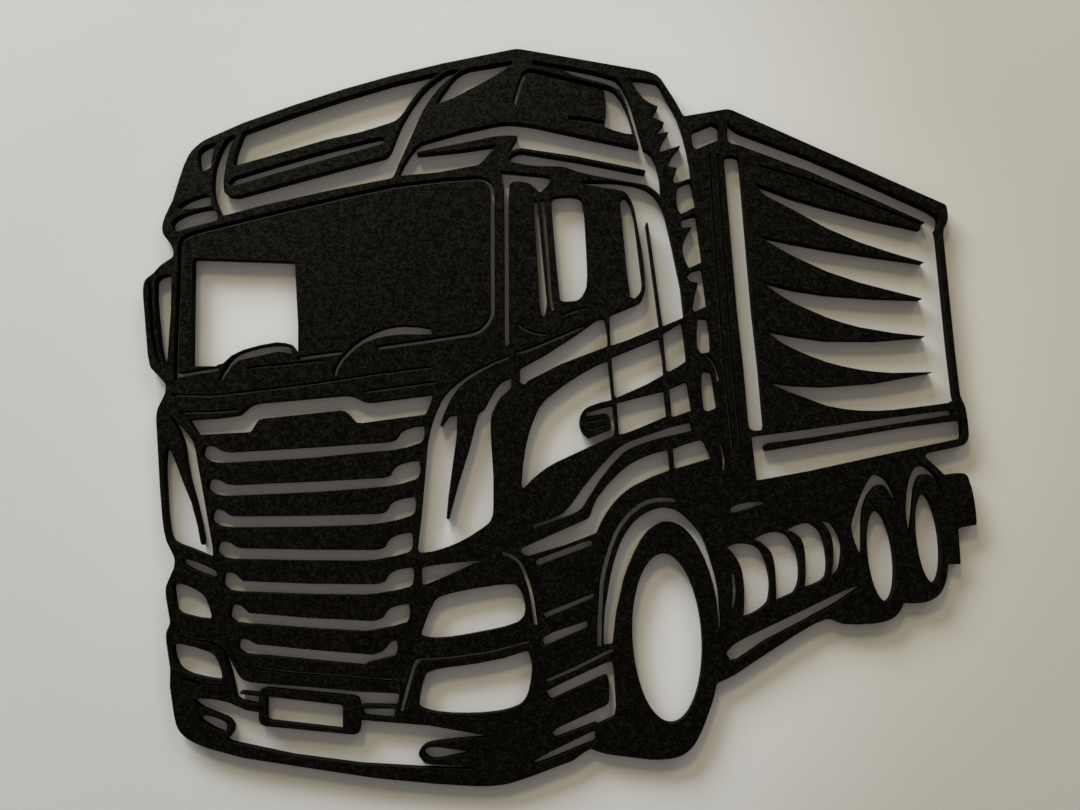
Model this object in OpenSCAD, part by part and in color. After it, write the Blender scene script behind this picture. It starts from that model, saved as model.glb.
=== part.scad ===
// Truck wall plaque: a flat cut-out picture of a cab-over box truck, seen
// from its front corner, in one sheet thickness. The plate is divided along
// its drawn panel lines, and every piece meets its neighbours face to face.
// Drawing coordinates: u to the right and v up the picture, in millimetres,
// from the left edge and from the lower edge of the bumper.

/* [Plate] */
// Thickness of the plate
plate_t = 3; // [2:0.5:6]
// Width of the drawn panel lines
line_w = 1.3; // [0.9:0.1:1.5]
// Rounding at the corners of the cut-outs
corner_r = 0.9; // [0.4:0.1:1.2]
// Rounding at the corners of the outer edge
edge_r = 0.6; // [0.3:0.1:1]

/* [Cab front] */
// Width of the square cut-out in the windscreen
window_w = 32; // [28:0.5:33]
// Height of the square cut-out in the windscreen
window_h = 32.4; // [26:0.5:33]
// Height of a grille slot
grille_slot_h = 3.2; // [2.4:0.1:3.6]
// Width of the number plate frame
plate_frame_w = 30.2; // [28:0.2:30.4]
// Height of the number plate frame
plate_frame_h = 11.5; // [10:0.1:11.8]
// Width of the number plate frame's left bar
plate_left_w = 2.2; // [1.6:0.1:3.2]
// Width of the number plate frame's right bar
plate_right_w = 5; // [3:0.1:6]
// Width of the number plate frame's top bar
plate_top_w = 2.6; // [1.6:0.1:3.2]
// Width of the number plate frame's foot bar
plate_foot_w = 1.7; // [1.4:0.1:2.4]

/* [Wheels] */
// Half width of the opening in the front wheel
front_hub_w = 10.5; // [8:0.25:11.5]
// Half height of the opening in the front wheel
front_hub_h = 25.5; // [20:0.5:27]
// Half width of the opening in a rear wheel
rear_hub_w = 4.0; // [3:0.1:4.2]
// Half height of the opening in a rear wheel
rear_hub_h = 13.7; // [11:0.1:14]

/* [Box] */
// Width of the upright gap behind the front post of the box
post_gap_w = 4.5; // [3.5:0.1:5.5]
// Width of the gap under the top rail of the box
rail_gap_w = 4; // [3:0.1:4.4]
// Width of the rear post of the box
rear_post_w = 1.7; // [1.4:0.1:3]

/* [Hidden] */

// Middle of the drawing, which becomes the origin
mid = [125.05, 109.85];
coat = [0.09, 0.09, 0.09];
// Sharpest turn that an outline still flows through, and turn of one facet
corner_turn = 46;
bend_step = 7;

// Outlines

// Point at share t of a curve that leaves p towards q and comes in to r
function curve(p, q, r, t) = (1 - t) * (1 - t) * p + 2 * t * (1 - t) * q + t * t * r;

// Turn of a path at p, coming from a and going on to b, in degrees
function turn(a, p, b) = let (d = p - a, e = b - p) abs(atan2(d.x * e.y - d.y * e.x, d * e));

// Heading of a path at p: along the chord of its neighbours where it flows
// on, and none at a corner
function heading(a, p, b) = turn(a, p, b) > corner_turn ? [0, 0] : (b - a) / norm(b - a);

// Points from p on the way to q, bent to the headings g and h at its ends
function bend(p, q, g, h) =
    let (d = (q - p) / norm(q - p),
        from = norm(g) > 0 ? g : norm(h) > 0 ? 2 * d - h : d,
        to = norm(h) > 0 ? h : norm(g) > 0 ? 2 * d - g : d,
        n = min(5, floor(turn([0, 0], from, from + to) / bend_step)))
    [for (k = [0 : n]) let (t = k / (n + 1), m = norm(q - p))
        (2 * t - 3) * t * t * (p - q) + p
        + m * ((t - 2) * t + 1) * t * from + m * (t - 1) * t * t * to];

// Closed outline through the points, flowing on through every slight turn
function flow(pts) = let (n = len(pts)) [for (i = [0 : n - 1])
    let (a = pts[(i + n - 1) % n], p = pts[i], q = pts[(i + 1) % n], b = pts[(i + 2) % n])
    each bend(p, q, heading(a, p, q), heading(p, q, b))];

// Open path through the points, flowing on through every slight turn
function flow_path(pts) = let (n = len(pts) - 1) concat(
    [for (i = [0 : n - 1])
        let (p = pts[i], q = pts[i + 1],
            g = i > 0 ? heading(pts[i - 1], p, q) : [0, 0],
            h = i + 2 <= n ? heading(p, q, pts[i + 2]) : [0, 0])
        each bend(p, q, g, h)],
    [pts[n]]);

// Closed outline with each corner turned into a short curve of size r
function soft(pts, r) = [for (i = [0 : len(pts) - 1])
    let (n = len(pts), a = pts[(i + n - 1) % n], p = pts[i], b = pts[(i + 1) % n],
        from = p + (a - p) * min(r / norm(a - p), 0.45),
        to = p + (b - p) * min(r / norm(b - p), 0.45))
    each turn(a, p, b) > bend_step * 2 ? [for (t = [0, 0.5, 1]) curve(from, p, to, t)] : [p]];

// Direction of an open path at point i, turned to the left
function side(pts, i) =
    let (d = pts[min(i + 1, len(pts) - 1)] - pts[max(i - 1, 0)])
    [-d.y, d.x] / norm(d);

// Closed outline of a stroke of width w along an open path
function stroke(pts, w) = let (n = len(pts) - 1) concat(
    [for (i = [0 : n]) pts[i] + side(pts, i) * w / 2],
    [for (i = [n : -1 : 0]) pts[i] - side(pts, i) * w / 2]);

// Closed ellipse about c with half sizes a and b, leaning to the left
function oval(c, a, b, lean) = [for (k = [0 : 5 : 359])
    let (p = [a * cos(k), b * sin(k)])
    c + [p.x * cos(lean) - p.y * sin(lean), p.x * sin(lean) + p.y * cos(lean)]];

// Upright-sided box about c whose top and bottom fall by drop to the right
function slant_box(c, w, h, drop) = [
    c + [-w / 2, (drop - h) / 2], c + [w / 2, (-drop - h) / 2],
    c + [w / 2, (h - drop) / 2], c + [-w / 2, (h + drop) / 2]];

module gap(pts, r = corner_r) { polygon(soft(flow(pts), r)); }
module line(pts, w = line_w) { polygon(stroke(flow_path(pts), w)); }

// A piece of the plate: the part of the picture inside a zone, less the
// children, at its place about the middle of the drawing
module piece(zone) {
    color(coat)
        translate([-mid.x, -mid.y, 0])
        linear_extrude(plate_t)
        difference() {
            intersection() { gap(outer_edge, edge_r); polygon(zone); }
            children();
        }
}

// Outer edge of the picture

left_edge = [[9.8, 18], [8.8, 23.5], [8, 29], [8.1, 34.5], [7, 42], [6.9, 45.5],
    [8.1, 48.4], [6.9, 55.5], [6.9, 59.5], [9.1, 64.5], [9.3, 68], [7, 72.7], [5.8, 79],
    [5, 89], [4.3, 102], [3.9, 109], [4.4, 112.8], [6.4, 116.8], [6.7, 120],
    [4, 123], [2, 125.4], [1.1, 132], [0, 146], [0.4, 150.8], [3, 153.2], [5.3, 155.7],
    [8.5, 157.8], [9.1, 159.4], [8.2, 162], [6.2, 164.6], [5.7, 167], [6.6, 170.4],
    [8.8, 175], [11, 182], [13.6, 188.6], [17, 192.2], [20, 193.9]];
roof_line = [[30, 198.3], [45, 203.6], [60, 208.4], [75, 212.6], [90, 216.2],
    [111, 220.4], [113.5, 220.4], [130, 217.6], [149, 214.3], [153.3, 213.1],
    [155.6, 211.2], [159.5, 205.2], [162.2, 200.3], [174.6, 202.4], [177, 202]];
right_edge = [[240.2, 174.1], [241.1, 173.2], [241.5, 169], [240.4, 166.8], [240.2, 164],
    [243.5, 131], [245.2, 116.6], [246.8, 113], [247.8, 105], [247.2, 102.6], [245.4, 101.3],
    [235.6, 99.2], [234.8, 98], [236.6, 96.4], [238.4, 94.8], [240.6, 92.6], [246, 93.2],
    [247.6, 92], [249.4, 85.5], [250.2, 77.6], [245.6, 76.9], [244.7, 76.2],
    [245.4, 65.8], [241.6, 65.9], [241.1, 61.3], [239.4, 57.2], [236.2, 54.9], [232, 54.1],
    [228.3, 54.3], [226.7, 51.1], [224, 49.1], [219, 48], [210, 47.9], [205.2, 49.4],
    [195, 44.1], [185, 37.6], [178, 32.9], [172.2, 30.1]];
lower_edge = [[170.9, 24.4], [168.7, 18.2], [165.9, 12.3], [162.6, 8.9], [158, 7.4],
    [152, 7.2], [140, 8.7], [136.6, 9.6], [134.6, 10.4], [132.6, 9.5], [129, 6.9],
    [119, 3.1], [109, -0.2], [100, -0.8], [88, -0.1], [70, 1.6], [50, 4.6], [30, 7.7],
    [20, 10.4], [14.6, 12.6], [11.4, 15.1]];
outer_edge = concat(left_edge, roof_line, right_edge, lower_edge);

// Roof

roof_gaps = [
    // over the sun visor
    [[30.5, 195.8], [45, 201], [60, 205.9], [75, 210.3], [85, 212.7], [89, 213.3],
        [84, 209.3], [81, 205.8], [75.3, 198.7], [55, 193.3], [27.2, 185.3], [27.6, 189],
        [29.2, 193.8]],
    // round the sun visor
    [[28, 194.6], [25, 193.5], [22, 187.5], [20.9, 182], [21.2, 176], [23.9, 170.4],
        [35, 173.4], [55, 177.9], [75, 181.8], [76.7, 186], [80.3, 193.9], [83.8, 201.8],
        [88.3, 208.3], [95, 214.1], [91, 213.6], [83.7, 207.7], [77.7, 198.7], [75.7, 194.1],
        [74.3, 190.5], [72.3, 188.3], [55, 183.7], [29, 176.6], [26, 176.5],
        [24.3, 177.6], [24.2, 182], [26, 190.5]],
    // far cap
    [[16.4, 189.3], [18.5, 191.3], [22.4, 192.4], [21, 189.6], [20.4, 184.8], [17.4, 183.7],
        [16.6, 186]],
    [[10, 172.8], [12, 174.6], [16, 176.3], [19.8, 177], [20.6, 173.6], [12.4, 172.4]],
    [[8.3, 167.6], [9.8, 169.8], [15, 171.9], [20.6, 173], [22.2, 170.8], [22, 169],
        [14, 167], [9.8, 165.6]],
    // three-cornered opening at the roof's peak
    [[87.8, 204], [90, 207.8], [95.4, 213.8], [103, 215.6], [110.8, 217], [110.4, 215.7],
        [103, 211], [93, 205.8]],
    // along the sun visor
    [[25.6, 180.2], [27.5, 182.2], [40, 186], [55, 190.2], [70.5, 194], [72.4, 193.6],
        [72.2, 192.2], [64, 189.9], [55, 187.5], [40, 183.3], [30, 180.3], [26.6, 179.4]],
    // over the side panel
    [[126, 214.9], [134, 213.1], [140.6, 211.6], [142.4, 210], [143.2, 208.6],
        [142.6, 208.2], [141, 209.2], [139, 210], [137, 210.6], [134, 211.35], [130, 212.4],
        [127, 213.6]],
    // behind the side panel
    [[138.2, 209], [140.4, 208.7], [142, 207.5], [143.9, 204.7], [145.6, 200.9], [147.2, 195],
        [144, 195.3], [138.3, 197.2], [138.9, 202]]];
roof_lines = [
    [[111.4, 204], [112.8, 209], [114.2, 213], [117, 213.9], [128, 211.2], [140, 208.4]],
    [[116.8, 216.5], [128, 214.5], [140.6, 211.6], [143, 209.4], [146, 203], [149.6, 190.4]],
    [[127.5, 199.9], [132, 199.4], [139, 198.2]]];
// over the door windows, round the fin and the gutter rail
side_gaps = [
    [[81.4, 190.8], [84, 192.7], [95, 195.8], [105, 198], [110, 198.5], [118, 197.5],
        [135, 193.8], [150, 190.7], [152.6, 188.8], [154.3, 185], [155.2, 180],
        [155.2, 176.4], [152.6, 178.8], [150, 179.9], [135, 182.6], [130, 183.8],
        [126, 185.2], [118, 185.4], [109.8, 186.8], [109.6, 187.7], [111.5, 189.3],
        [114, 189.7], [130, 187.2], [150.6, 183.2], [150.9, 184.1], [130, 188.3],
        [114, 190.7], [111.3, 190.3], [108.8, 188.4], [112.4, 194.5], [105, 194.2],
        [82.2, 189.6], [82, 188.9], [95, 190.2], [106.2, 191.9], [103.5, 188.7],
        [100, 185.6], [76.4, 182.4], [78.4, 186.6]]];

module roof_cuts() {
    for (g = roof_gaps) gap(g);
    for (g = side_gaps) gap(g, 0.4);
    for (l = roof_lines) line(l);
    line(screen_line);
}

far_cap_zone = [[3, 158.6], [9.5, 158.6], [9.5, 166], [22, 169.6], [24, 171.6],
    [22.4, 178], [22.8, 186], [25, 191.8], [28.2, 194.5], [27.5, 200], [3, 200]];
roof_edge_zone = [[24, 194.4], [28.2, 194.4], [31, 194.9], [60, 204.4], [85, 211.3],
    [89.4, 213], [95, 213.9], [97, 213.7], [110.4, 216.2], [117.2, 216.4], [128, 214.5],
    [140.6, 211.6], [147.5, 210.4], [153, 209.2], [155.5, 206.3], [160.2, 199.6],
    [162.2, 200.3], [163, 204], [158, 216], [112, 226], [20, 206]];
roof_visor_zone = [[22.8, 173], [26, 173.2], [75.2, 184.5], [76.6, 190], [79.5, 197.5],
    [84, 205], [90, 212.6], [89.4, 213], [85, 211.3], [60, 204.4], [31, 194.9],
    [28.2, 194.4], [25, 191.8], [22.8, 186], [22.4, 178]];
roof_side_zone = [[75.2, 181.7], [75.2, 184.5], [76.6, 190], [79.5, 197.5], [84, 205],
    [90, 212.6], [95, 213.9], [97, 213.7], [110.4, 216.2], [117.2, 216.4], [128, 214.5],
    [140.6, 211.6], [143, 209.4], [146, 203], [149.6, 190.4], [148, 189.6], [125, 194.6],
    [109, 197], [100, 195.6], [83, 191], [80.6, 189.4], [76.6, 182.6]];
side_fin_zone = [[79.5, 188], [81.2, 190.3], [105, 195.6], [114, 196.4], [113, 193.5],
    [108.6, 188.2], [106, 191.6], [95, 189.8], [84, 188.4]];
gutter_rail_zone = [[109.4, 188.8], [109.4, 187.2], [111.5, 188.6], [114, 189],
    [130, 186.5], [152, 182.2], [152, 185], [130, 189], [114, 191.4], [111, 191]];

module far_cap() { piece(far_cap_zone) roof_cuts(); }
module roof_edge() {
    piece(roof_edge_zone) { roof_cuts(); side_cuts(); polygon(far_cap_zone); }
}
module roof_visor() { piece(roof_visor_zone) roof_cuts(); }
module roof_side() { piece(roof_side_zone) roof_cuts(); }
module side_fin() { piece(side_fin_zone) roof_cuts(); }
module gutter_rail() { piece(gutter_rail_zone) roof_cuts(); }

// Windscreen

screen_line = [[9.8, 121], [10, 132], [10.9, 150], [11.2, 162.2], [13, 164.2],
    [20, 166.4], [40, 171.3], [60, 176], [75, 179.2], [90, 181], [100, 181.7],
    [103.2, 180.8], [104.7, 178.2], [104.7, 160], [104.8, 142], [103.8, 139], [101, 136],
    [97, 134.7], [85, 132.9], [70, 130.8]];
sill_line = [[59.6, 129.5], [53, 128.6], [46.4, 127.7]];
window_at = [14.5, 125.3];
wiper_gaps = [
    [[22.2, 121], [25.3, 126.5], [28, 128.9], [32, 130.4], [37, 131.5], [42, 131.7],
        [44.4, 130.4], [44.8, 128.9], [40, 129.7], [32, 128.8], [26.4, 125.1], [24, 121.4]],
    [[56.9, 122.6], [57.6, 125.4], [60.4, 129.4], [65, 133.4], [72, 136.7], [78, 137.6],
        [86.2, 136.8], [86.8, 134.9], [78, 134.9], [72, 134.2], [66, 132.1], [61, 128],
        [58.6, 124.4], [58.3, 122.6]]];
wiper_top = [[24, 126.2], [26.5, 128.5], [30, 130.2], [35, 131.6], [40, 132.5],
    [42.5, 132.3], [44.5, 131.8], [45.8, 130], [46.5, 129]];

window_step = 20;
window_right = window_at.x + window_w + 1;
// strip of glass that stays between the square cut-out and the sill line
sill_strip = 2.6;
// what the far wiper and the sill hide of the square cut-out
wiper_mask = concat([[24, 120], [22, 125.6]], wiper_top,
    [[window_right, sill_line[1].y + sill_strip], [window_right, 120]]);

module window_gap() {
    difference() {
        gap([window_at, window_at + [0.4, window_h], window_at + [window_w - 1, window_h - 1],
            window_at + [window_w, window_h - window_step], window_at + [window_w, 0]]);
        polygon(wiper_mask);
    }
}

vent_line = [[10.4, 122.6], [16, 123.6], [22.6, 124.6]];
cowl_lines = [
    [[8.6, 116.6], [20, 116.4], [30, 117.4], [50, 119.9], [70, 122.9], [86.6, 125]],
    [[11, 111.3], [20, 111.5], [28.6, 112.1]],
    [[65.6, 117.5], [76, 118.9], [88, 120.5]],
    [[31, 124.7], [45, 126.1], [54, 127]]];

module screen_cuts() {
    window_gap();
    for (g = wiper_gaps) gap(g, 0.6);
    line(screen_line);
    line(sill_line);
    line(vent_line);
}

blade_top = [[87.6, 133.3], [86.4, 136.3], [78, 136.5], [72, 135.7], [66, 133], [61, 128.9]];
wiper_edge = [for (i = [len(wiper_top) - 2 : -1 : 0]) wiper_top[i] + [0, 0.6]];
windscreen_zone = concat([[9.9, 123.2]], [for (i = [1 : len(screen_line) - 3]) screen_line[i]], blade_top, sill_line,
    [[47.2, 129.4]], wiper_edge, [[22, 126.2], [21.4, 124.4], [16, 123.6], [11, 122.7]]);
wiper_far_zone = concat([[20.8, 121.2], [22.8, 121.4], [24, 123], [26, 126.2], [28.4, 128.2],
    [32, 129.6], [36, 130.5], [40, 130.8], [43.2, 130.4], [44.8, 128.4], [46.4, 127.7], [47.2, 129.4]],
    wiper_edge, [[22, 126.2], [21.4, 124.4]]);
wiper_near_zone = concat([for (i = [len(blade_top) - 1 : -1 : 0]) blade_top[i]],
    [[85, 132.9], [70, 130.8], [66, 129.2], [61, 125.2], [58.4, 122.9], [58.2, 124.6]]);

module windscreen() { piece(windscreen_zone) screen_cuts(); }
module wiper_far() { piece(wiper_far_zone) screen_cuts(); }
module wiper_near() { piece(wiper_near_zone) screen_cuts(); }

frame_zone = [[9.5, 158.6], [11, 158.6], [40, 162], [95, 150], [103.5, 138.4], [109, 134],
    [109, 183.2], [109.4, 187.2], [109.4, 188.8], [108.6, 188.2], [106, 191.6], [80, 186],
    [76.6, 182.6], [75.2, 182.4], [55, 178.7], [24, 171.2], [22, 169.6], [9.5, 166]];
module windscreen_frame() {
    piece(frame_zone) {
        roof_cuts();
        mirror_cuts();
        polygon(windscreen_zone);
    }
}

// Mirrors

mirror_gaps = [
    [[3.6, 150.4], [5, 152.2], [8.5, 152.8], [8.3, 142], [7.2, 126.6], [6.1, 126.6],
        [4.9, 131], [3.9, 141]],
    [[122.5, 175.4], [124, 176.4], [130, 176.4], [131.7, 175], [132.6, 168], [133.2, 157],
        [133.1, 149.6], [131.7, 146.3], [130, 145], [125.2, 144.8], [124.2, 154], [122.8, 170]],
    [[117.1, 175.4], [118.2, 175.4], [119.8, 158], [121.1, 145], [120.8, 141.6], [119.9, 140],
        [119.1, 143], [118.2, 158]],
    [[107, 184], [121.6, 182.6], [122.2, 181.8], [121.5, 179.8], [119, 177.4], [117.4, 179],
        [115.4, 180.3], [111.4, 180.8], [109.9, 179.4], [109.6, 168], [109.7, 131.4],
        [108.4, 131.4], [108.3, 168], [108.2, 179]]];
mirror_lines = [
    [[2, 150.5], [2.2, 143], [2.8, 135], [3.8, 129.6], [5.4, 125.8]],
    [[119.8, 175.6], [121, 162], [122.2, 146], [123, 142]],
    [[125.6, 140.4], [129, 141.8], [133, 142.9]],
    [[112.5, 138], [116, 135.8], [121, 134.9]]];

module mirror_cuts() {
    for (g = mirror_gaps) gap(g);
    for (l = mirror_lines) line(l, 0.9);
}

far_mirror_zone = [[-3, 121.5], [9.9, 121.5], [10, 132], [10.9, 150], [11, 158.6], [-3, 158.6]];
near_mirror_zone = [[109, 184.6], [121.8, 183.6], [124, 184], [126, 182.4], [131, 180.4],
    [135.5, 178.8], [135.5, 146], [133, 143.4], [127, 139.6], [112, 136.4], [109, 134]];
module far_mirror() { piece(far_mirror_zone) { mirror_cuts(); line(screen_line); line(vent_line); } }
module near_mirror() { piece(near_mirror_zone) { mirror_cuts(); side_cuts(); } }

// Cab front

// left and right end, middle heights at the left, centre and right, top of
// the left upturn, top and foot of the right upturn, widths of the upturns
grille_rows = [
    [17.4, 84.3, 98.0, 99.4, 101.0, 101.4, 107.6, 102.6, 4.6, 7.6],
    [18.9, 83.0, 88.1, 89.1, 90.2, 91.4, 97.1, 91.7, 4.5, 8.0],
    [20.1, 81.7, 78.6, 78.8, 79.3, 82.2, 86.1, 80.8, 4.5, 8.0],
    [21.7, 80.8, 69.0, 68.6, 68.5, 72.6, 75.4, 69.8, 4.9, 7.4],
    [23.5, 81.1, 59.1, 58.4, 58.2, 63.2, 64.9, 59.4, 4.7, 7.8],
    [25.6, 79.9, 49.4, 48.1, 47.2, 53.5, 53.9, 48.6, 4.6, 7.2],
    [28.0, 76.2, 40.0, 38.6, 37.1, 43.4, 43.0, 38.5, 4.2, 3.6]];

function grille_slot(row) = let (
    left = row[0], right = row[1], v_left = row[2], v_mid = row[3], v_right = row[4],
    left_top = row[5], right_top = row[6], right_foot = row[7],
    left_w = row[8], right_w = row[9], h = grille_slot_h / 2)
    [[left, v_left + 0.8], [left + 2.4, v_left - h + 0.5], [left + 8, v_left - h],
        [50, v_mid - h], [66, v_right - h], [right - 9, v_right - h + 0.8],
        [right - 1.4, right_foot - 0.4], [right, right_foot + 1.4], [right - 0.2, right_top],
        [right - 0.7 * right_w, right_top - 1], [right - right_w, right_top - 2.4],
        [right - right_w - 1, v_right + h + 0.9], [right - right_w - 4, v_right + h],
        [50, v_mid + h], [left + left_w + 4, v_left + h], [left + left_w + 1.4, v_left + h + 0.3],
        [left + left_w - 0.4, left_top - 0.3], [left + 0.6, left_top]];

front_gaps = [
    // over the grille
    [[13.4, 109.3], [28, 110.6], [30, 112], [32, 113.6], [35, 114.4], [60, 116.6],
        [63, 116.2], [66, 114.7], [70, 114.7], [87, 116.9], [85, 111.3], [84, 110.7],
        [66, 108.3], [63.4, 108.8], [61, 111.5], [59, 112], [36, 109.6], [34.5, 109],
        [32.6, 106], [31.6, 105.5], [16.4, 104.7]],
    // far corner
    [[7.8, 110.6], [8.7, 110.2], [13.5, 104.8], [15.2, 102], [16.2, 97], [18, 87],
        [19.4, 79], [20.8, 71], [20.9, 68.5], [20.2, 68.2], [14, 70.8], [9, 72.9],
        [7.6, 76], [6.7, 84], [6.3, 92], [6.4, 99.4], [7.6, 101], [9.4, 97.4], [12, 90.4],
        [14.4, 84.6], [16.3, 77.6], [17.1, 73], [17.6, 71.6], [17.9, 73], [17.2, 77.6],
        [15.6, 84.6], [13.8, 91], [12.6, 97], [11.6, 103.4]],
    [[11.6, 67.6], [16, 66.5], [22, 63.8], [22.1, 62.5], [20, 62.3], [12.4, 65.6]],
    // far lamps
    [[8.6, 59.4], [11.5, 59.9], [15, 58.6], [18.2, 56.4], [19.7, 53.3], [20.6, 50.2], [20, 49.3],
        [12, 50.8], [9.6, 52.3]],
    [[8.8, 41.7], [12, 41.8], [19, 39.8], [21.3, 38.5], [22.7, 36], [23.8, 32], [23.2, 31.1],
        [15, 32.6], [11, 34.6], [9.2, 38]],
    // near corner
    [[109.8, 128.7], [105, 126.8], [100, 124.3], [96, 121.8], [90.4, 116.8], [87, 109.8],
        [85.1, 102.1], [84.1, 90], [83.2, 80], [82.1, 70.7], [82.7, 69.3], [88, 70],
        [95, 72.6], [101, 76.2], [104.4, 79.2], [105.1, 84], [105.1, 92], [104.4, 103],
        [104.3, 109], [105.2, 112.4], [107.6, 116.4], [110, 118.4], [110.3, 121.9],
        [107.2, 120.4], [104.5, 116.8], [102.4, 112.7], [100.3, 110.9], [97.9, 101.2], [94.3, 89.6],
        [91.6, 79.4], [91, 79.4], [91.6, 86], [92.8, 95], [94, 104], [94.3, 110.8],
        [91.6, 110.4], [89.6, 107.4], [89, 107.3], [91.6, 114], [94, 118], [96.4, 120.4],
        [100, 122.9], [105, 125.7], [109.8, 127.4]],
    [[83.3, 64.8], [90, 65.9], [103, 67.2], [99, 66], [92, 62.8], [85, 59.9], [83.4, 59.6]],
    // near lamps
    [[83, 44.4], [84.6, 49], [87.2, 54.6], [90, 56.4], [98, 58.3], [106, 59.6], [111.6, 59.8],
        [113.6, 57.4], [114.6, 53.4], [114.2, 50.4], [112, 48.2], [105, 46.2], [96, 44.5],
        [88, 43.6]],
    [[82.5, 23], [83.4, 29], [84.9, 33.2], [90, 34.7], [100, 36], [108, 37.6], [115.3, 39.9],
        [116.6, 36], [116.3, 31], [115, 25.9], [112.6, 23.3], [106, 21.4], [97, 20.8],
        [88, 21.3]],
    // fog lamps
    [[16.8, 19.9], [20, 20.3], [25.1, 18.2], [25.2, 16.2], [24, 15.2], [17.7, 18.4]],
    [[84.1, 9.3], [86, 10.9], [91, 10.6], [99, 9.4], [93, 8.2], [87, 7.3]]];
plate_at = [49.8, 21.7];
plate_gap_at = plate_at + [plate_left_w - plate_right_w, plate_foot_w - plate_top_w] / 2;
plate_gap_w = plate_frame_w - plate_left_w - plate_right_w;
plate_gap_h = plate_frame_h - plate_top_w - plate_foot_w;
plate_left = plate_at.x - plate_frame_w / 2;
plate_right = plate_at.x + plate_frame_w / 2;
// round the number plate, running on under its frame
plate_gaps = [
    [[23.6, 41], [25.4, 38.6], [28.4, 33], [30.4, 31], [36, 30], [50, 29], [64.6, 27.6],
        [77, 27], [76.2, 23.5], [65.6, 23.7], [63, 23], [58, 24.6], [40, 26.6],
        [36.6, 24], [30, 24.8], [27.6, 26], [26.9, 30], [25.9, 34], [24.6, 38]],
    [[plate_right + 0.5, 22.5], [75.7, 22.5], [75.2, 19.6], [plate_right + 1.1, 20.4]],
    [[14.6, 25.4], [20, 25.4], [26, 24.2], [31, 22], [36, 21.2], [38, 19.4], [61, 16.8],
        [63.4, 18.9], [70, 18.7], [86, 17.4], [94, 16], [103.6, 14.3], [103.6, 13.9],
        [98, 13.6], [90, 12.8], [85.6, 12.1], [83.2, 10.4], [82.8, 8.2], [84.6, 6],
        [100, 4.9], [100, 4.3], [84, 4.7], [65, 5.8], [45, 8.4], [28, 12], [24.6, 13.2],
        [26.4, 15], [26.9, 17.4], [24.8, 19.8], [17.8, 22.6]]];
// width, points
front_lines = [
    [0.7, [[11, 44.3], [16, 43.3], [20, 42.5], [24.8, 39.4]]],
    [0.7, [[12, 31.5], [16, 30.4], [24.4, 29.4]]],
    [1.2, [[82.6, 37.2], [81, 34.6], [79.4, 29], [77.3, 21.2]]],
    [1.1, [[107.6, 69.2], [111, 67.8], [113.4, 65.4], [115.4, 60.6], [116.8, 54.6],
        [117.8, 47.4]]],
    [0.8, [[82.6, 37], [92, 37.6], [104, 39.3], [116, 42.5]]],
    [0.7, [[30.6, 35.2], [35, 34.4], [44, 33.4], [58, 32.3], [70, 31.3], [77.2, 30.8]]]];
plate_bar = [[29.2, 27.8], [plate_left + 1.3, 27.1], [plate_left + 1.3, 26], [29.2, 26.9]];
plate_zone = [[29, 28], [plate_left - 0.7, 30], [plate_right + 1.1, 29], [plate_right + 1.1, 13],
    [plate_left - 0.7, 15], [plate_left - 1.1, 26], [29, 26.4]];
plate_fall = 2.9;
plate_gap_fall = 2.6;

module front_cuts() {
    for (g = front_gaps) gap(g, 0.7);
    for (row = grille_rows) gap(grille_slot(row), 1.2);
    for (l = front_lines) line(l[1], l[0]);
    difference() {
        for (g = plate_gaps) gap(g, 0.7);
        number_plate_edge();
        polygon(plate_bar);
    }
}
module number_plate_edge() { gap(slant_box(plate_at, plate_frame_w, plate_frame_h, plate_fall), 2); }

grille_zone = [[10.4, 108.1], [15, 107.6], [32, 108], [36, 111.6], [60, 114.2], [65, 111.6],
    [85.6, 113.8], [89.5, 112.6], [88, 108.5], [86.8, 103], [85.5, 90], [84.4, 78], [83.6, 70.2],
    [83.9, 63], [84, 60.4], [87.4, 54.3], [85.4, 49], [83.8, 45], [82.6, 37.2], [81, 34.6],
    [79.4, 29], [78.4, 25.3], [76, 25.3], [65, 26.2], [50, 28.3], [36, 29.3], [30.2, 29],
    [28.2, 31.5], [25.6, 37.4], [24.2, 40.2], [22.6, 42], [21.6, 49], [21.6, 55], [22, 63.2],
    [20.5, 68.8], [18.8, 79], [17, 88], [14.8, 99], [13, 103.8]];
far_corner_zone = [[-2, 112.4], [8.2, 110.4], [10.4, 108.1], [13, 103.8], [14.8, 99], [17, 88],
    [18.8, 79], [20.5, 68.8], [22, 63.2], [16, 65.4], [12.2, 67], [8, 66.4], [-2, 66.4]];
far_lamps_zone = [[-2, 66.4], [8, 66.4], [12.2, 67], [16, 65.4], [22, 63.2], [21.6, 55],
    [21.6, 49], [22.6, 42], [24.2, 40.2], [25.6, 37.4], [28.2, 31.5], [28, 28.6], [24.4, 29.4],
    [16, 30.4], [12, 31.5], [-2, 32.4]];
near_lamps_zone = [[83.9, 63], [95, 64.6], [103, 67.1], [107.6, 69.2], [111, 67.8],
    [113.4, 65.4], [115.4, 60.6], [116.8, 54.6], [117.8, 47.4], [118.6, 38], [118, 22],
    [84, 19.2], [77.1, 20.6], [79.4, 29], [81, 34.6], [82.6, 37.2], [83.8, 45], [85.4, 49],
    [87.4, 54.3], [84, 60.4]];
bumper_zone = [[-2, 32.4], [12, 31.5], [16, 30.4], [24.4, 29.4], [28, 28.6], [29.4, 28.4],
    [36, 29.3], [50, 28.3], [65, 26.2], [76, 25.3], [78.4, 25.3], [77.1, 20.6], [84, 19.2],
    [118, 22], [117, 14], [112, -3], [-2, -3]];
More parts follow.
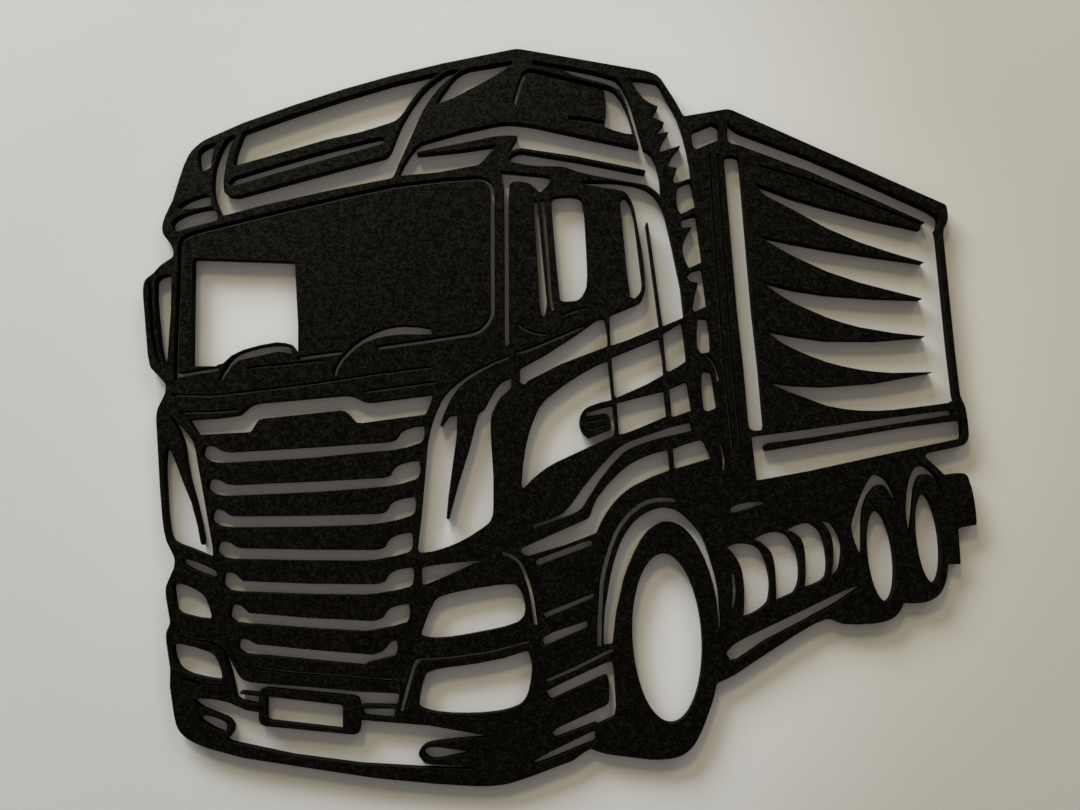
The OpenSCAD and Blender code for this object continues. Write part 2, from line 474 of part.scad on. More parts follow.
near_corner_zone = [[112, 129.6], [109.8, 128.1], [105, 126.2], [100, 123.6], [96, 121],
    [91.4, 115.4], [89.5, 112.6], [88, 108.5], [86.8, 103], [85.5, 90], [84.4, 78],
    [83.6, 70.2], [83.9, 63], [95, 64.6], [103, 67.1], [107.6, 69.2], [109.5, 68.5], [112.4, 70.2],
    [111, 72], [112, 76.4]];
cowl_zone = [[-2, 112.4], [8.2, 110.4], [10.4, 108.1], [15, 107.6], [32, 108], [36, 111.6],
    [60, 114.2], [65, 111.6], [85.6, 113.8], [89.5, 112.6], [91.4, 115.4], [96, 121],
    [100, 123.6], [105, 126.2], [109.8, 128.1], [112, 129.6], [109, 134], [103.5, 138.4],
    [60, 133], [46, 131], [14, 123.8], [9.9, 121.5], [-2, 121.5]];

module cowl() {
    piece(cowl_zone) {
        front_cuts();
        screen_cuts();
        mirror_cuts();
        for (l = cowl_lines) line(l, 0.75);
        polygon(windscreen_zone);
        polygon(wiper_near_zone);
        polygon(wiper_far_zone);
    }
}
module grille() { piece(grille_zone) { front_cuts(); number_plate_edge(); } }
module far_corner() { piece(far_corner_zone) front_cuts(); }
module far_headlamps() { piece(far_lamps_zone) front_cuts(); }
module near_headlamps() { piece(near_lamps_zone) front_cuts(); }
module near_corner() { piece(near_corner_zone) { front_cuts(); side_cuts(); under_cuts(); } }
module bumper() {
    piece(bumper_zone) {
        front_cuts();
        under_cuts();
        number_plate_edge();
        polygon(plate_bar);
    }
}
module number_plate() {
    piece(plate_zone) {
        difference() {
            polygon(plate_zone);
            number_plate_edge();
            polygon(plate_bar);
        }
        gap(slant_box(plate_gap_at, plate_gap_w, plate_gap_h, plate_gap_fall), 0.8);
    }
}

// Door and cab side

door_gaps = [
    // rear quarter window and the door window
    [[143, 175.2], [143.6, 170], [145, 155], [146.2, 146], [147.4, 145.6], [149.5, 148.3],
        [149.6, 152], [148, 165], [146.6, 173], [144.5, 176.4]],
    [[131.5, 181], [140, 180.9], [147, 180], [151, 178.6], [153.6, 176.6], [155.2, 174],
        [156.8, 170], [158.9, 161], [161.4, 149], [162.4, 140], [156.7, 137.6], [155.9, 137.3],
        [151.5, 168.4], [150.8, 168.4], [155, 137.2], [145, 133], [140.3, 131.4], [139.9, 140.7],
        [147, 143.6], [149.6, 145.2], [150.7, 149], [149.5, 161], [147.5, 172], [145.4, 176.8],
        [143, 178.2], [133, 179.7]],
    // lower door openings
    [[113, 124.8], [120, 128.6], [130, 135], [136, 139.3], [138.5, 139.6], [139.3, 135],
        [139.4, 131.3], [125, 125.8], [116, 121.2], [114.5, 119.8], [113, 120.4]],
    [[139.5, 127.3], [131.7, 123.4], [121.6, 116.3], [118.1, 111.7], [114.9, 102.1], [113.5, 90],
        [114.2, 88.7], [119, 93.3], [124, 96.5], [141.2, 104.5], [141.5, 107], [140.9, 113.7],
        [133, 111.6], [132.9, 110.3], [138.6, 111.2], [140, 110], [140.3, 106.3], [133.6, 103.8], [131.6, 105.8],
        [130.9, 108.6], [131.8, 111.5], [134, 113.3], [140.7, 115.2], [140, 122]],
    [[140.5, 128.1], [154.9, 133.9], [156, 127], [156.3, 122.8], [151, 119.8], [142, 115.8],
        [141.4, 117]],
    [[156, 135.2], [161.8, 138.7], [162.9, 130], [163.1, 127], [158.5, 124], [157, 123.9]],
    [[142.1, 114.4], [156.4, 118], [157.2, 110.3], [147, 106], [142.8, 104.7]],
    [[157.9, 118.5], [163.3, 120.8], [164.7, 112.1], [160, 110.4], [158.6, 110.2]],
    // over the wheel arch band
    [[164.5, 108.6], [158, 107], [147, 103.2], [141.5, 99.8], [132, 88.8], [128.5, 83.8],
        [125, 80.6], [116.5, 77.6], [117, 76.7], [128, 80.7], [131.9, 83], [137.2, 91.4],
        [143.9, 99.2], [148.8, 101.8], [156, 104], [164.9, 106]],
    // between the wheel arch band and the steps and mudguard
    [[157.7, 100.3], [148.6, 97.3], [142.8, 93.2], [136.2, 85.6], [134.2, 80.6], [133.2, 79.4],
        [113.5, 70.6], [113.2, 69.6], [116, 68.5], [136.2, 75.3], [138.3, 80], [142, 85.2],
        [147.5, 89.6], [158.2, 94.2]],
    [[159, 100.5], [167, 103.2], [168.4, 102.8], [170.7, 97.8], [159.5, 94.5]],
    // beside the deflector
    [[145.8, 211.8], [153.3, 211], [155, 209.8], [157.6, 205], [160.4, 200], [163.2, 190.5],
        [164.6, 181.8], [159.6, 180.2], [159.2, 181.3], [160.3, 184.9], [157.6, 185.2],
        [159, 188.9], [161.4, 191.6], [155, 189.6], [156, 193], [157.8, 195.7], [153.4, 195],
        [156.5, 198.4], [152.4, 200.4], [154.6, 203.3], [150, 205.8], [146.7, 210.4]],
    [[164.5, 180.9], [166, 173.3], [161.5, 171], [160.3, 173], [160.2, 178], [161.2, 179.8]],
    [[162, 169.8], [166, 170.9], [167.9, 156.7], [163.8, 154.7], [162.2, 158.5],
        [162.1, 162], [164.8, 167.2], [162, 166.8], [161.4, 168]],
    [[163.2, 152], [164.5, 153.8], [167.8, 154.7], [169.3, 143.5], [165.5, 141.6], [165, 143],
        [166.6, 150.4], [164, 150.8]],
    [[166.4, 138.5], [167, 139.9], [169.4, 139.7], [170.4, 131], [169.4, 129.4], [167.5, 129.2],
        [166.2, 131.5]],
    [[167.6, 122], [168.5, 123.9], [170.6, 123.7], [172.3, 113], [169.5, 111.7], [168.2, 112.3]]];
door_lines = [
    [[173.3, 102], [174.3, 98], [174.3, 94]],
    [[169, 128.6], [171.5, 125.6], [172.7, 121]],
    [[111.8, 129.4], [116, 130.4], [124, 133.7], [132.4, 137.3]]];
// grip of the door handle
handle_lines = [
    [[133, 108.6], [135.6, 108.9], [138.6, 109.7]],
    [[133.2, 106.2], [136, 106.7], [139, 107.7]]];

module side_cuts() {
    for (g = door_gaps) gap(g, 0.5);
    for (l = door_lines) line(l, 1);
    for (l = handle_lines) line(l, 0.6);
}

deflector_zone = [[140.6, 211.6], [143, 209.4], [146, 203], [149.6, 190.4], [151.6, 188],
    [153.4, 184], [154.4, 178], [155.3, 176], [157.6, 172.4], [159.8, 166], [161.8, 154],
    [163.5, 144], [164.5, 135], [165.2, 126], [165.9, 117], [166.2, 111], [169, 112.2],
    [171, 112.6], [169.4, 123], [169, 131], [168.2, 139], [168, 145], [166.6, 154],
    [166.4, 158], [164.8, 170], [164.6, 174], [163.4, 181], [163.2, 184], [161, 194],
    [158.6, 200.4], [155.5, 206.3], [153, 209.2], [147.5, 210.4]];
wheel_arch_zone = [[111, 72], [112.4, 70.2], [117, 70.8], [128, 74.8], [134.8, 77],
    [138, 83.6], [144, 90], [150, 94.4], [158.4, 97.6], [163, 99], [169.4, 100], [167.5, 102.4],
    [165.2, 107], [158, 105.6], [149, 102.4], [143, 99.8], [136.6, 92.4], [131.2, 84.6],
    [127.6, 81.2], [117, 77.1], [112, 76.4]];
door_zone = [[109, 134], [112, 129.6], [112, 76.4], [117, 77.1], [127.6, 81.2], [131.2, 84.6],
    [136.6, 92.4], [143, 99.8], [149, 102.4], [158, 105.6], [165.2, 107], [166.2, 111], [165.9, 117],
    [165.2, 126], [164.5, 135], [163.5, 144], [161.8, 154], [159.8, 166], [157.6, 172.4],
    [155.3, 176], [154.4, 178], [150, 181.6], [131, 185], [126, 186], [111.4, 187.8],
    [109.4, 187.2], [109, 183]];

module door() {
    piece(door_zone) {
        side_cuts();
        roof_cuts();
        mirror_cuts();
        polygon(near_mirror_zone);
        polygon(gutter_rail_zone);
    }
}
module deflector() { piece(deflector_zone) { side_cuts(); roof_cuts(); } }
module wheel_arch() { piece(wheel_arch_zone) side_cuts(); }

// Steps, wheels, tank and skirt

under_gaps = [
    // steps
    [[117.7, 66], [118.2, 67.3], [132, 72.4], [134.7, 73], [134.9, 71.6], [122, 66.9], [118.8, 65.4]],
    [[119.9, 51], [130, 55], [135.3, 57.2], [135.5, 55.8], [130, 53.5], [120.7, 49.6]],
    [[119.6, 43.2], [123, 45.4], [131, 48.1], [133.3, 48.8], [133.5, 46.8], [128, 44.5], [120.6, 41.2]],
    [[120.8, 27.6], [125, 29.8], [138, 35.9], [140.7, 36.7], [141.4, 33], [142, 23.5], [141.5, 20],
        [136.5, 17.7], [135.5, 18.1], [124, 13.7], [122.5, 14.5], [125, 17], [138.6, 23.3],
        [139.8, 24.8], [139.6, 32.1], [138.8, 32.6], [122.5, 25.1]],
    [[116.9, 6.6], [122, 9.4], [135.5, 16], [135.8, 12.9], [123, 7.6], [117.7, 5.6]],
    // between the front tyre and the mudguard
    [[138.3, 41.5], [138.6, 52], [140.2, 62], [142.7, 71], [146, 77], [149.4, 80.3], [154, 82.5],
        [158, 82.7], [161.6, 81.2], [167.5, 74.8], [170.5, 67], [172.7, 58.5], [173.5, 49],
        [173.4, 45.5], [172.9, 46], [172.1, 55], [170, 63.6], [166.7, 71.2], [162.7, 76.5],
        [159, 78.5], [155.5, 78.5], [151, 75.3], [147.3, 69], [144.2, 61], [142, 51], [141, 41.8]],
    // round the rear tyres
    [[215.8, 68], [212.6, 76.5], [213.8, 82], [215.8, 87.5], [218.3, 91.9], [220.4, 92.9],
        [224, 90.4], [226.4, 85], [227.4, 81], [226, 84], [222.6, 89.3], [221, 89.8],
        [219.4, 88.7], [217.1, 85], [216, 79], [216, 71.2]],
    [[230.3, 73.6], [229, 80], [228.9, 84], [229.7, 90.5], [231.4, 94.6], [233.5, 95.4],
        [235.4, 95], [238.6, 91.7], [240.6, 85.4], [239.4, 88], [237.2, 91.8], [234.5, 92.9],
        [233.2, 92.2], [231.8, 88.4], [231.1, 81]],
    // tank straps
    [[175.2, 70.8], [178.5, 72], [183.9, 71.2], [186.2, 68.6], [188, 62.5], [188.2, 58],
        [187, 53.8], [180.2, 50], [180.4, 58.5], [179.4, 65], [177, 69.2]],
    [[183.2, 73.3], [187.5, 75.2], [191, 75.4], [193.6, 74.2], [196.4, 69], [197.1, 62],
        [195.6, 57.4], [190, 54.8], [189.8, 62.5], [188.7, 69], [185.5, 72.4]],
    [[193, 76], [197, 77.8], [200.4, 78], [203.7, 75], [205.4, 68], [205.1, 62.3],
        [203, 60.5], [198.6, 58.9], [198.8, 66.5], [197.8, 73], [195, 75.5]],
    [[203, 79.2], [206.8, 78.2], [209.6, 73], [209.9, 69], [208.8, 63.8], [206.6, 62.4],
        [207.2, 69.5], [206.3, 75]],
    [[176, 82.4], [179, 83.9], [185, 84.7], [187, 84.2], [182, 82.7], [177, 81.2]],
    // over the skirt
    [[175, 39.2], [178, 42.2], [184, 45.3], [196, 51], [207, 56.3], [213, 58.9], [216, 59.2],
        [208, 54.1], [198, 48.6], [187, 42.9], [179, 37.5], [176.4, 36.9]]];
under_lines = [
    [[160, 84.8], [156, 85.3], [151, 84.4], [145.6, 80.4], [141.8, 74.6], [139.3, 67.4],
        [137.7, 60], [137.1, 50], [136.9, 41]],
    [[121, 30.6], [129, 34], [141, 40]],
    [[177.2, 63], [177.6, 58], [177.2, 52.8]]];

// middle of the opening, half width, half height, lean
wheel_openings = [
    [[157.4, 43.6], front_hub_w, front_hub_h, 3.4],
    [[221.5, 68.3], rear_hub_w, rear_hub_h, 7],
    [[235.7, 73.6], rear_hub_w - 0.4, rear_hub_h - 0.2, 7]];

module under_cuts() {
    for (g = under_gaps) gap(g, 0.6);
    for (l = under_lines) line(l);
    for (w = wheel_openings) polygon(oval(w[0], w[1], w[2], w[3]));
}

steps_zone = [[109.5, 68.5], [112.4, 70.2], [117, 70.8], [128, 74.8], [134.8, 77],
    [137.6, 75.8], [141, 73], [139.3, 67.4], [137.7, 60], [137.1, 50], [136.9, 42.2],
    [139.4, 42.2], [140.6, 36.4], [141, 30], [141.4, 20.2], [141.4, -2], [112, -3], [117, 14],
    [118, 22], [118.6, 38], [117.8, 47.4], [116.8, 54.6], [115.4, 60.6], [113.4, 65.4], [111, 67.8]];
front_tyre_zone = [[141.4, -2], [141.4, 20.2], [141, 30], [140.6, 36.4], [139.4, 42.2],
    [140, 51], [142.4, 62], [146, 73], [151, 78.6], [157, 80.6], [162.4, 78.6], [168, 71.4],
    [171.4, 62], [172.8, 52], [173.1, 46.6], [172.3, 37], [173.4, 30], [170, -2]];
mudguard_zone = [[134.8, 77], [138, 83.6], [144, 90], [150, 94.4], [158.4, 97.6], [163, 99],
    [169.4, 100], [173.6, 92], [174.6, 72], [174, 58], [173.6, 50], [173.1, 46.6], [150, 46], [139.4, 42.2],
    [136.9, 42.2], [137.1, 50], [137.7, 60], [139.3, 67.4], [141, 73], [137.6, 75.8]];
tank_zone = [[174, 58], [174.6, 72], [174.4, 80.6], [177, 82], [182, 83.4],
    [186.4, 84.2], [200, 85], [211, 83], [213.2, 76.5], [215, 71],
    [215.7, 68], [214, 62], [214.6, 58.8], [205, 54.2], [190, 47], [177, 39.6], [172.3, 37],
    [173.1, 46.6], [173.6, 50]];
skirt_zone = [[173.4, 30], [172.3, 37], [177, 39.6], [190, 47], [205, 54.2], [207.4, 55.4],
    [205.2, 49], [190, 36], [175, 25]];
rear_front_zone = [[205.2, 49], [207.4, 55.4], [214.6, 58.8], [214, 62], [215.7, 68], [214.4, 77],
    [216, 84], [219, 90.4], [221.2, 91.2], [224, 88.6], [227.2, 81.4], [228.4, 70], [228.3, 54.6],
    [228.3, 40], [205.2, 40]];
rear_back_zone = [[228.3, 40], [228.3, 54.6], [228.4, 70], [230.5, 74], [229.6, 81], [230.2, 88],
    [232, 93.4], [234.5, 94.2], [237.8, 92.2], [240.8, 85], [240.8, 40]];
rear_lamp_zone = [[240.8, 40], [240.8, 85], [240.5, 92.8], [240.5, 96], [256, 96], [256, 40]];
chassis_zone = [[165.2, 107], [166.2, 111], [169, 112.2], [171, 112.6], [171.4, 106], [182.6, 104], [184.6, 104], [184.8, 97],
    [185.4, 92.8], [200, 95.2], [233.4, 102.4], [235.6, 98.2], [240.5, 92.8], [240.8, 85], [237.8, 92.2],
    [234.5, 94.2], [232, 93.4], [230.2, 88], [229.6, 81], [230.5, 74], [228.4, 70], [227.2, 81.4],
    [224, 88.6], [221.2, 91.2], [219, 90.4], [216, 84], [214.4, 77], [213.2, 76.5], [211, 83],
    [200, 85], [186.4, 84.2], [182, 83.4], [177, 82], [174.4, 80.6], [174.6, 72], [173.6, 92], [169.4, 100], [167.5, 102.4]];

module front_steps() { piece(steps_zone) { under_cuts(); side_cuts(); front_cuts(); } }
module front_tyre() { piece(front_tyre_zone) under_cuts(); }
module front_mudguard() { piece(mudguard_zone) { under_cuts(); side_cuts(); polygon(front_tyre_zone); } }
module tank() { piece(tank_zone) under_cuts(); }
module side_skirt() { piece(skirt_zone) under_cuts(); }
module rear_tyre_front() { piece(rear_front_zone) under_cuts(); }
module rear_tyre_back() { piece(rear_back_zone) under_cuts(); }
module rear_lamp() { piece(rear_lamp_zone) under_cuts(); }
module chassis() { piece(chassis_zone) { under_cuts(); side_cuts(); box_cuts(); } }

// Box

post_gap_at = [[174.4, 188.6], [176.4, 165], [178.4, 142], [180.4, 124], [182, 106]];
rail_gap_top = [[176.6, 197.4], [180, 195.4], [200, 188], [220, 179.4], [235, 172.6], [239, 170]];
rear_post_edge = [[239.6, 166.8], [240.2, 164], [242.2, 144], [243.5, 131], [245.2, 116.6], [245.6, 115.4]];
// gaps between the claws: the edge above, from the root to the tip, then the
// edge below, from the next tip back to the root
claw_gaps = [
    [[183.6, 180.3], [195, 176], [205, 173.1], [220, 169.4], [234.4, 166.2],
        [235.4, 156.2], [225, 159.2], [215, 162.5], [205, 166.8], [195, 172.3], [187, 176.4]],
    [[185, 164.6], [195, 162.4], [205, 160.6], [220, 158.3], [235.4, 156.2],
        [234.8, 145.4], [225, 147.8], [215, 150.4], [205, 153.8], [195, 158.4], [188.2, 162.2]],
    [[185.4, 151], [195, 148.4], [205, 146.9], [220, 145.8], [234.8, 145.4],
        [235.7, 134.2], [225, 135.3], [215, 137], [205, 140], [195, 144.4], [188.8, 148.3]],
    [[187, 136.2], [195, 134.5], [205, 133.1], [220, 133], [235.7, 134.2],
        [237.8, 123.6], [225, 123.3], [215, 124.3], [205, 126.6], [195, 130.6], [190.3, 133.3]],
    [[187.4, 120.7], [195, 119.6], [205, 119.2], [220, 120.3], [237.8, 123.6],
        [242.4, 114.4], [235, 113.4], [225, 112.2], [215, 112], [205, 113.5], [195, 117.2], [190.6, 119]]];

module post_gap() {
    gap(concat([for (p = post_gap_at) p + [-0.2, 0]],
        [for (i = [len(post_gap_at) - 1 : -1 : 0]) post_gap_at[i] + [post_gap_w, 0]]), 1.6);
}
module rail_gap() {
    gap(concat([[175.4, 199.6]], rail_gap_top,
        [for (i = [len(rail_gap_top) - 1 : -1 : 1]) rail_gap_top[i] + [-0.6, -rail_gap_w]],
        [[175.3, 192.6]]), 1);
}
// open strip between the claw tips and the rear post
tip_head = [[233.4, 166], [233.2, 168.2], [237.6, 168.9]];
tip_line = [[242, 114.2], [236.6, 123.5], [234.5, 134.2], [233.6, 145.4], [234.2, 156.4]];
module tip_gap() {
    polygon(concat(tip_head, [for (p = rear_post_edge) p - [rear_post_w, 0]], tip_line));
}
box_gaps = [
    [[164.6, 195.8], [170.8, 198.4], [172.8, 197.4], [172.9, 193.3], [166.2, 190.5], [165, 191.6]],
    [[182.6, 104.2], [183.4, 97], [184.1, 91], [200, 93.9], [220, 98.3], [245.6, 103.7],
        [246, 105], [245.6, 109.2], [230, 107.2], [200, 102.1], [187, 99.9], [186.3, 101.1],
        [187, 102.2], [200, 103.9], [243.4, 110.9], [243, 112.4], [220, 109.4], [200, 106.5]]];
box_lines = [
    [[169.9, 189], [171.6, 160], [174.3, 125], [177, 100]],
    [[172.4, 189], [174.2, 160], [176.8, 125], [179.3, 100]],
    [[185, 185.5], [200, 181.2], [220, 173.3], [236, 167]]];

module box_cuts() {
    post_gap();
    rail_gap();
    for (g = claw_gaps) gap(g, 0.3);
    tip_gap();
    for (g = box_gaps) gap(g, 0.6);
    for (l = box_lines) line(l, 0.65);
}

front_post_zone = [[160.2, 199.6], [161, 194], [163.2, 184], [163.4, 181], [164.6, 174], [164.8, 170],
    [166.4, 158], [166.6, 154], [168, 145], [168.2, 139], [169, 131], [169.4, 123], [171, 112.6],
    [171.4, 106], [182.6, 104], [183.6, 106], [182.4, 124], [180.4, 142], [178.4, 165],
    [176.4, 188.6], [175.6, 191.4], [176, 195], [176, 199.4], [178, 204], [163, 204], [162.2, 200.3]];
top_rail_zone = concat([[178, 206], [176, 199.4], [176, 195]],
    [for (i = [1 : len(rail_gap_top) - 1]) rail_gap_top[i] - [0, rail_gap_w / 2]],
    [[239.6, 168.4], [244, 167.4], [248, 170], [245, 178]]);
rear_post_zone = [[239.6, 168.4], [244, 167.4], [252, 111.9], [242.5, 111.8], [242.3, 114.3],
    [240, 124], [238, 145], [236.6, 157], [236.2, 167], [237.6, 168.2]];
bottom_rail_zone = [[184.6, 104], [200, 105.4], [220, 108.3], [242.5, 111.8],
    [252, 111.9], [252, 98], [235.6, 98.2], [233.4, 102.4], [200, 95.2], [185.4, 92.8], [184.8, 97]];
side_panel_zone = [[176.4, 188.6], [178.4, 165], [180.4, 142], [182.4, 124], [183.6, 106],
    [182.6, 104], [184.6, 104], [200, 105.4], [220, 108.3], [242.5, 111.8], [242.3, 114.3],
    [240, 124], [238, 145], [236.6, 157], [236.2, 167], [237.6, 168.2], [235, 170.6],
    [220, 177.4], [200, 186], [180, 193.4], [176, 195], [175.6, 191.4]];

module box_front_post() { piece(front_post_zone) { box_cuts(); side_cuts(); } }
module box_top_rail() { piece(top_rail_zone) box_cuts(); }
module box_side_panel() { piece(side_panel_zone) box_cuts(); }
module box_rear_post() { piece(rear_post_zone) { box_cuts(); polygon(top_rail_zone); } }
module box_bottom_rail() { piece(bottom_rail_zone) box_cuts(); }

far_mirror();
far_cap();
roof_edge();
roof_visor();
roof_side();
windscreen_frame();
side_fin();
gutter_rail();
windscreen();
wiper_far();
wiper_near();
cowl();
grille();
far_corner();
far_headlamps();
bumper();
number_plate();
near_headlamps();
near_corner();
front_steps();
wheel_arch();
front_mudguard();
front_tyre();
door();
near_mirror();
deflector();
box_front_post();
box_top_rail();
box_side_panel();
box_rear_post();
box_bottom_rail();
chassis();
tank();
side_skirt();
rear_tyre_front();
rear_tyre_back();
rear_lamp();
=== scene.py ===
# %% [markdown]
# # A truck picture, cut through a black plate
#
# The object is a flat picture of a box truck, printed in black plastic as one plate 3 mm thick.
# Its openings are cut right through, so the pale table shows as the light parts of the drawing.
# The CAD model already has every outline in its true place. It could be rendered as it is, but
# then every edge would be perfectly sharp and every face perfectly even, which no print is.
# So each CAD piece is carried over here as a printed shell with a fine rounded rim, and gets a
# plastic with the grain of a textured print bed on its front and printed layers on its walls.

import math

import bpy
import numpy as np
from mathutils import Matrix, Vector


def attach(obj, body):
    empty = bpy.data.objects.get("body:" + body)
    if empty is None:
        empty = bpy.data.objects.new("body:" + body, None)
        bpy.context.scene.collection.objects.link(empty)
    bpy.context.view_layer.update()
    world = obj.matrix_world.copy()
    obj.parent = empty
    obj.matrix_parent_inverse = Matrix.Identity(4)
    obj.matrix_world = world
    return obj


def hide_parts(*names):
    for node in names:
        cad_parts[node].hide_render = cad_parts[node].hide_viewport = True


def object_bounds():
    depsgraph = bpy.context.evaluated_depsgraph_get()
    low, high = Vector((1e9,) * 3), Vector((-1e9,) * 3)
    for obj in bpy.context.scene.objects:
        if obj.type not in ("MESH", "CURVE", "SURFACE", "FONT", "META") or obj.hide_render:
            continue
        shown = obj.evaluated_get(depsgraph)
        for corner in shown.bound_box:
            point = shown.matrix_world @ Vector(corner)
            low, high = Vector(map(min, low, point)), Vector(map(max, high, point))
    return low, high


MM_PER_M = 1000.0

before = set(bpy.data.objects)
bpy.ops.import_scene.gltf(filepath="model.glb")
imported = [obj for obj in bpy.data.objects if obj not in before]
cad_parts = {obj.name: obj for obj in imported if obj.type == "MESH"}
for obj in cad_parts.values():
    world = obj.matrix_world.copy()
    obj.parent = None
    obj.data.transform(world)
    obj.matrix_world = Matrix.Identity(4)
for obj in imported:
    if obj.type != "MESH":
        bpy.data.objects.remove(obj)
cad_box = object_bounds()
scene = bpy.context.scene
scene.view_settings.view_transform = "Standard"
plate_top = max(corner[2] for corner in cad_box)
print("CAD pieces:", len(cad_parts), "plate thickness in mm:", round(plate_top * MM_PER_M, 3))

# %% [markdown]
# ## The camera
#
# The photograph was taken straight down from about 280 mm above the plate. That shows in the
# walls of the openings: they lean away from one point, low in the middle of the picture, where
# the camera looks exactly along them. A camera could be tilted to frame the plate, but then the
# table's straight edges would converge. Looking straight down and shifting the lens keeps the
# plate flat to the picture, as it is in the photograph.

# %% Camera straight above the plate
camera_height = 0.280
frame_width = 0.324
frame_centre = (-0.00595, 0.00379)
eye = (-0.00005, -0.0319, plate_top + camera_height)

lens = bpy.data.cameras.new("camera")
lens.sensor_fit = "HORIZONTAL"
lens.angle = 2 * math.atan(frame_width / 2 / camera_height)
lens.shift_x = (frame_centre[0] - eye[0]) / frame_width
lens.shift_y = (frame_centre[1] - eye[1]) / frame_width
lens.clip_start = 0.01
camera = bpy.data.objects.new("camera", lens)
camera.location = eye
scene.collection.objects.link(camera)
scene.camera = camera
print("lens angle:", round(math.degrees(lens.angle), 1))
print("lens shift:", round(lens.shift_x, 3), round(lens.shift_y, 3))

# %% [markdown]
# ## Numbers that vary over a surface
#
# A finish is made of shader nodes. Placing each node by hand hides the idea behind it, so a small
# class wraps a node's output and takes part in ordinary sums: `1 - front` adds the Math node that
# does it. Every other kind of node comes from one method, which takes the node's type, its
# settings and the values of its sockets.

# %% A finish and its arithmetic
class Varying:
    """A number that changes over a surface, with the sums that a finish needs."""

    def __init__(self, finish, socket):
        self.finish = finish
        self.socket = socket

    def maths(self, operation, first, second):
        node = self.finish.add("ShaderNodeMath", {"operation": operation}, {0: first, 1: second})
        return Varying(self.finish, node.outputs[0])

    def __add__(self, other):
        return self.maths("ADD", self, other)

    def __radd__(self, other):
        return self.maths("ADD", other, self)

    def __rsub__(self, other):
        return self.maths("SUBTRACT", other, self)

    def __mul__(self, other):
        return self.maths("MULTIPLY", self, other)

    def __rmul__(self, other):
        return self.maths("MULTIPLY", other, self)

    def __pow__(self, other):
        return self.maths("POWER", self, other)


class Finish:
    """A material under construction."""

    def __init__(self, name):
        self.material = bpy.data.materials.new(name)
        self.material.use_nodes = True
        self.tree = self.material.node_tree
        self.tree.nodes.clear()

    def add(self, kind, settings=None, sockets=None):
        """One node: its type, its settings, and the values or links of its sockets."""
        node = self.tree.nodes.new(kind)
        for key, value in (settings or {}).items():
            setattr(node, key, value)
        for key, value in (sockets or {}).items():
            source = getattr(value, "socket", value)
            if isinstance(source, bpy.types.NodeSocket):
                self.tree.links.new(source, node.inputs[key])
            else:
                node.inputs[key].default_value = source
        return node

    def varying(self, kind, settings=None, sockets=None, output=0):
        """One node whose output is used as a number."""
        return Varying(self, self.add(kind, settings, sockets).outputs[output])

    def between(self, value, low, high):
        """0 below low, 1 above high, and a smooth step from one to the other."""
        settings = {"interpolation_type": "SMOOTHSTEP", "clamp": True}
        sockets = {"Value": value, "From Min": low, "From Max": high}
        return self.varying("ShaderNodeMapRange", settings, sockets)

    def blend(self, amount, first, second):
        """The first colour turning into the second as the amount goes from 0 to 1."""
        node = self.add("ShaderNodeMix", {"data_type": "RGBA"}, {0: amount, 6: first, 7: second})
        return node.outputs[2]

    def place_in_mm(self):
        """The point of the surface in millimetres, in the object's own coordinates."""
        place = self.add("ShaderNodeTexCoord").outputs["Object"]
        sockets = {0: place, "Scale": MM_PER_M}
        return self.add("ShaderNodeVectorMath", {"operation": "SCALE"}, sockets).outputs[0]

    def coordinate(self, place, axis):
        """The x, y or z of a place, for axis 0, 1 or 2."""
        return self.varying("ShaderNodeSeparateXYZ", None, {0: place}, axis)

    def noise(self, place, size, detail=2.0, roughness=0.5):
        """Even noise from 0 to 1, with lumps of about the given size in millimetres."""
        sockets = {"Vector": place, "Scale": 1.0 / size, "Detail": detail, "Roughness": roughness}
        return self.varying("ShaderNodeTexNoise", None, sockets)

    def shade(self, **sockets):
        """Closes the finish with one Principled shader."""
        shader = self.add("ShaderNodeBsdfPrincipled", None, sockets)
        output = self.add("ShaderNodeOutputMaterial")
        self.tree.links.new(shader.outputs[0], output.inputs[0])


print("a finish knows:", ", ".join(name for name in vars(Finish) if not name.startswith("_")))

# %% [markdown]
# ## The table and the light
#
# The plate lies on pale paper. Its colour carries painted light and shade: it is whitest in the
# middle, warmer to the right and fading to grey farther off, as the lamps' light falls on the table.
# Its
# shadows fall to the lower right: long soft ones from a wide window, low at the upper left, and short
# clear ones from a small warm lamp higher up. A pale wall at the upper right lightens them. Sun lamps
# would draw hard edges only, so three area lamps stand in for the three, and a weak sky fills in.

# %% Colours of the paper, with painted light and shade
# Painted light and shade: the paper is painted lightest in the middle and darker, warmer and greyer
# outwards.
PAINTED_LIGHT_MIDDLE_LEFT = (0.75, 0.745, 0.735, 1.0)
PAINTED_LIGHT_MIDDLE_RIGHT = (0.72, 0.70, 0.65, 1.0)
PAINTED_SHADE_OUTER_LEFT = (0.675, 0.67, 0.655, 1.0)
PAINTED_SHADE_OUTER_RIGHT = (0.61, 0.58, 0.52, 1.0)
PAINTED_SHADE_FAR_GREY = (0.34, 0.335, 0.325, 1.0)
BORDER_WANDER = 24

paper = Finish("pale_paper")
paper_place = paper.place_in_mm()
paper_x = paper.coordinate(paper_place, 0)
paper_y = paper.coordinate(paper_place, 1)
falloff_wander_noise = paper.noise(paper_place, size=60.0, detail=3.0)
paper_fibre = paper.noise(paper_place, size=0.8, detail=4.0, roughness=0.6)
from_middle = (paper_x ** 2 + paper_y ** 2) ** 0.5
painted_tint_to_right = paper.between(paper_x, low=30.0, high=115.0)
painted_falloff_outwards = paper.between(from_middle + BORDER_WANDER * falloff_wander_noise, low=95.0, high=190.0)
painted_falloff_far_off = paper.between(from_middle, low=220.0, high=800.0)
